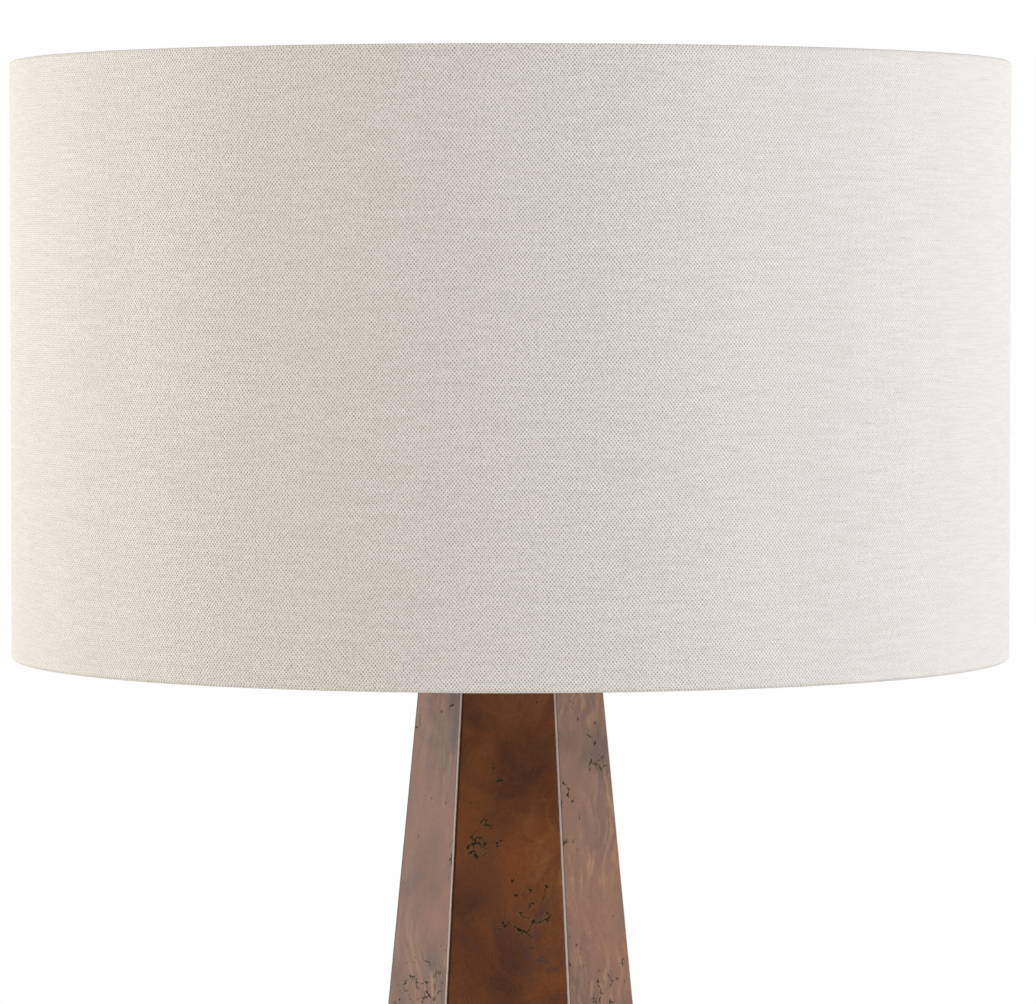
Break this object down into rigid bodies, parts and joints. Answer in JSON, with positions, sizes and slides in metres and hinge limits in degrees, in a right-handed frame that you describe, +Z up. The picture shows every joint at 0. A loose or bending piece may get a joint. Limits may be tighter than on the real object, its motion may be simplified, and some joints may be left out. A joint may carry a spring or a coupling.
{
  "type": "tripod floor lamp",
  "caption": "Floor lamp: a tapered six-sided burl-wood body divides into three legs and carries a linen drum shade on a harp.",
  "frame": {"origin": "on the floor, in the middle of the lamp", "axes": "+Z up along the lamp's axis, -Y towards the front, where the turn knob points, +X to the right"},
  "size_m": [0.508, 0.508, 1.5475],
  "materials": {
    "burl_wood": "clear lacquered burl veneer, semi-gloss",
    "beech": "plain turned beech",
    "zinc_steel": "zinc plated steel",
    "brass": "satin brass",
    "black_plastic": "moulded phenolic",
    "white_plastic": "moulded white plastic",
    "nylon": "natural nylon",
    "card": "pressed card",
    "aluminium": "drawn aluminium",
    "nickel": "nickel plated",
    "opal": "opal polycarbonate",
    "linen": "natural off-white linen, plain weave",
    "liner": "white styrene sheet",
    "white_wire": "white painted steel wire"
  },
  "bodies": {
    "stand": {"leg_front": "burl_wood", "leg_right": "burl_wood", "leg_left": "burl_wood", "stave_dowels": "beech", "hub_plate": "zinc_steel", "hub_screws": "zinc_steel", "lamp_pipe": "zinc_steel", "pipe_washer": "zinc_steel", "pipe_nut": "zinc_steel", "cord_bushing": "black_plastic", "floor_glides": "nylon", "glide_screws": "zinc_steel", "cap_plate": "brass", "neck": "brass", "harp_saddle": "brass", "lock_nut": "brass", "harp_wire": "brass", "harp_seat": "brass", "socket_cap": "brass", "socket_set_screw": "zinc_steel", "socket_shell": "brass", "socket_insulator": "card", "socket_interior": "black_plastic", "terminal_screws": "zinc_steel", "screw_shell": "aluminium", "centre_contact": "brass"},
    "shade": {"shade_linen": "linen", "shade_liner": "liner", "shade_top_ring": "white_wire", "shade_bottom_ring": "white_wire", "shade_spider": "white_wire"},
    "finial": {"finial": "brass"},
    "knob": {"switch_shaft": "brass", "switch_knob": "black_plastic"},
    "bulb": {"bulb_cap": "nickel", "bulb_tip_insulator": "black_plastic", "bulb_tip_contact": "zinc_steel", "bulb_housing": "white_plastic", "bulb_board": "aluminium", "bulb_dome": "opal"},
    "ferrule_right": {"ferrule_right": "brass"},
    "ferrule_left": {"ferrule_left": "brass"}
  },
  "joints": [
    {"name": "shade_spin", "type": "hinge", "parent": "stand", "child": "shade", "pos_m": [0, 0, 1.5195], "axis": [0, 0, 1], "continuous": true},
    {"name": "finial_turn", "type": "hinge", "parent": "stand", "child": "finial", "pos_m": [0, 0, 1.53], "axis": [0, 0, 1], "continuous": true},
    {"name": "knob_turn", "type": "hinge", "parent": "stand", "child": "knob", "pos_m": [0, -0.02, 1.3168], "axis": [0, -1, 0], "continuous": true},
    {"name": "bulb_turn", "type": "hinge", "parent": "stand", "child": "bulb", "pos_m": [0, 0, 1.34], "axis": [0, 0, 1], "continuous": true},
    {"name": "ferrule_right_lift", "type": "slide", "parent": "stand", "child": "ferrule_right", "axis": [0, 0, 1], "range_m": [0, 0.012]},
    {"name": "ferrule_left_lift", "type": "slide", "parent": "stand", "child": "ferrule_left", "axis": [0, 0, 1], "range_m": [0, 0.012]}
  ]
}
